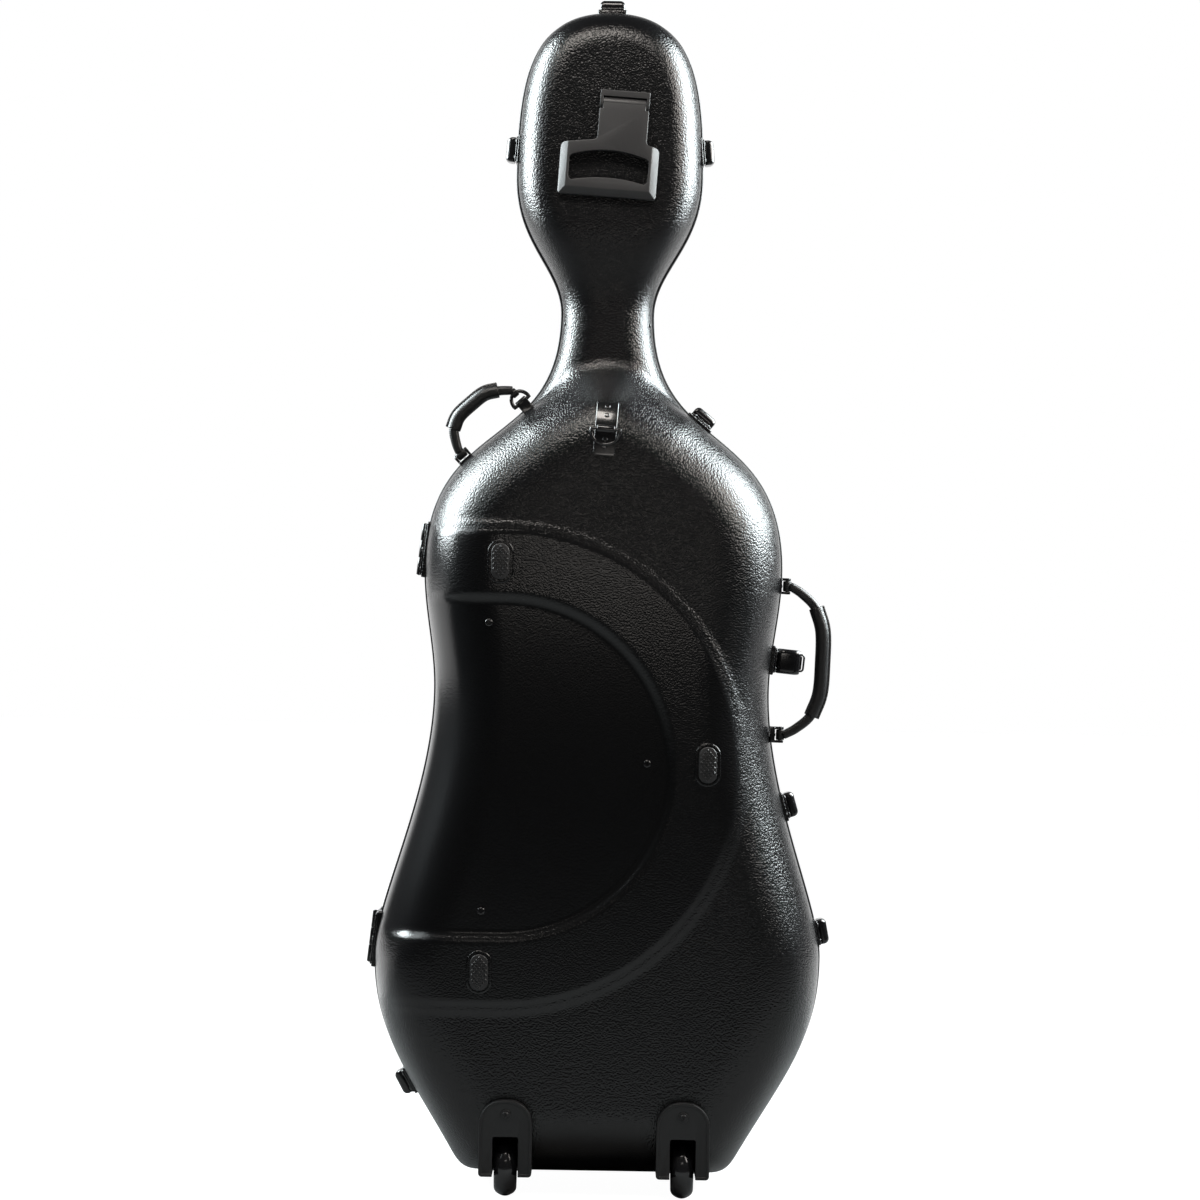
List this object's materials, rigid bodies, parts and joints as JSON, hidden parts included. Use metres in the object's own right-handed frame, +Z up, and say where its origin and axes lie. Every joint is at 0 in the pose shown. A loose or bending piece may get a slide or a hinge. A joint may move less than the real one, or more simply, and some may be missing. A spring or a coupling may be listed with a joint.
{
  "type": "cello hard case",
  "caption": "Upright hard case for a full-size cello with a hinged lid, draw latches, wheels, front feet, carrying handles, a strap ring and a folding tow handle.",
  "frame": {"origin": "on the floor, under the centre of the closed case's box", "axes": "+Z up along the case, +Y towards the lid, +X to the right seen from the back"},
  "size_m": [0.5392, 0.29, 1.376],
  "materials": {
    "shell": "pebble-grained satin",
    "rim": "black anodised satin",
    "lining": "brushed plush",
    "rubber": "matte",
    "moulded": "satin",
    "metal": "gloss black",
    "leather": "stitched, semi-matte",
    "tyre": "polished"
  },
  "bodies": {
    "back": {"back_shell": "shell", "back_lining": "lining", "back_rim": "rim", "hinge_lower_back_leaf": "metal", "hinge_upper_back_leaf": "metal", "latch_top_base": "metal", "latch_head_left_base": "metal", "latch_head_right_base": "metal", "latch_shoulder_base": "metal", "latch_side_base": "metal", "latch_waist_base": "metal", "latch_lower_base": "metal", "latch_base_left_base": "metal", "neck_cradle": "lining", "rest_pad_upper": "rubber", "rest_pad_side": "rubber", "rest_pad_lower": "rubber", "recess_screw_upper": "metal", "recess_screw_side": "metal", "recess_screw_lower": "metal", "wheel_housing_left": "moulded", "wheel_axle_left": "metal", "wheel_housing_right": "moulded", "wheel_axle_right": "metal", "side_handle_bracket_upper": "metal", "side_handle_bracket_lower": "metal", "shoulder_handle_bracket_lower": "metal", "shoulder_handle_bracket_upper": "metal", "strap_plate": "metal", "tow_bracket": "moulded"},
    "lid": {"lid_shell": "shell", "lid_lining": "lining", "lid_rim": "rim", "hinge_lower_lid_leaf": "metal", "hinge_upper_lid_leaf": "metal", "latch_top_keeper": "metal", "latch_head_left_keeper": "metal", "latch_head_right_keeper": "metal", "latch_shoulder_keeper": "metal", "latch_side_keeper": "metal", "latch_waist_keeper": "metal", "latch_lower_keeper": "metal", "latch_base_left_keeper": "metal", "front_foot_left": "rubber", "front_foot_right": "rubber"},
    "latch_top_lever": {"latch_top_lever": "metal"},
    "latch_head_left_lever": {"latch_head_left_lever": "metal"},
    "latch_head_right_lever": {"latch_head_right_lever": "metal"},
    "latch_shoulder_lever": {"latch_shoulder_lever": "metal"},
    "latch_side_lever": {"latch_side_lever": "metal"},
    "latch_waist_lever": {"latch_waist_lever": "metal"},
    "latch_lower_lever": {"latch_lower_lever": "metal"},
    "latch_base_left_lever": {"latch_base_left_lever": "metal"},
    "tow_handle": {"tow_handle": "moulded"},
    "side_handle": {"side_handle": "leather"},
    "shoulder_handle": {"shoulder_handle": "leather", "shoulder_handle_ring": "metal"},
    "d_ring": {"d_ring": "metal"},
    "wheel_left": {"wheel_left": "tyre"},
    "wheel_right": {"wheel_right": "tyre"}
  },
  "joints": [
    {"name": "lid_hinge", "type": "hinge", "parent": "back", "child": "lid", "pos_m": [-0.26314, 0.017, 0.28029], "axis": [0.1108, 0, 0.9938], "range_deg": [0, 105]},
    {"name": "latch_top_pivot", "type": "hinge", "parent": "back", "child": "latch_top_lever", "pos_m": [-0.00037, 0.002, 1.3695], "axis": [1, 0, 0], "range_deg": [0, 95]},
    {"name": "latch_head_left_pivot", "type": "hinge", "parent": "back", "child": "latch_head_left_lever", "pos_m": [-0.11495, 0.002, 1.20022], "axis": [0.0783, 0, 0.9969], "range_deg": [0, 95]},
    {"name": "latch_head_right_pivot", "type": "hinge", "parent": "back", "child": "latch_head_right_lever", "pos_m": [0.11421, 0.002, 1.20022], "axis": [0.0783, 0, -0.9969], "range_deg": [0, 95]},
    {"name": "latch_shoulder_pivot", "type": "hinge", "parent": "back", "child": "latch_shoulder_lever", "pos_m": [0.11426, 0.002, 0.8914], "axis": [0.7668, 0, -0.6419], "range_deg": [0, 95]},
    {"name": "latch_side_pivot", "type": "hinge", "parent": "back", "child": "latch_side_lever", "pos_m": [0.20686, 0.002, 0.60948], "axis": [-0.0953, 0, -0.9954], "range_deg": [-90, 5]},
    {"name": "latch_waist_pivot", "type": "hinge", "parent": "back", "child": "latch_waist_lever", "pos_m": [0.22238, 0.002, 0.44254], "axis": [0.28, 0, -0.96], "range_deg": [0, 95]},
    {"name": "latch_lower_pivot", "type": "hinge", "parent": "back", "child": "latch_lower_lever", "pos_m": [0.26159, 0.002, 0.29522], "axis": [0.1961, 0, -0.9806], "range_deg": [0, 95]},
    {"name": "latch_base_left_pivot", "type": "hinge", "parent": "back", "child": "latch_base_left_lever", "pos_m": [-0.22289, 0.002, 0.11176], "axis": [-0.4818, 0, 0.8763], "range_deg": [0, 95]},
    {"name": "tow_handle_pivot", "type": "hinge", "parent": "back", "child": "tow_handle", "pos_m": [0.01533, -0.076, 1.245], "axis": [-0.998, 0, 0.0628], "range_deg": [0, 90]},
    {"name": "side_handle_pivot", "type": "hinge", "parent": "back", "child": "side_handle", "pos_m": [0.20994, -0.028, 0.61047], "axis": [-0.0314, 0, -0.9995], "range_deg": [-10, 80]},
    {"name": "shoulder_handle_pivot", "type": "hinge", "parent": "back", "child": "shoulder_handle", "pos_m": [-0.13243, -0.028, 0.87367], "axis": [0.7455, 0, 0.6665], "range_deg": [-10, 80]},
    {"name": "d_ring_pivot", "type": "hinge", "parent": "back", "child": "d_ring", "pos_m": [-0.00037, -0.1384, 0.8698], "axis": [-0.9976, 0, 0.0698], "range_deg": [0, 170]},
    {"name": "wheel_left_spin", "type": "hinge", "parent": "back", "child": "wheel_left", "pos_m": [-0.10037, -0.111, 0.032], "axis": [1, 0, 0], "continuous": true},
    {"name": "wheel_right_spin", "type": "hinge", "parent": "back", "child": "wheel_right", "pos_m": [0.09963, -0.111, 0.032], "axis": [1, 0, 0], "continuous": true}
  ]
}
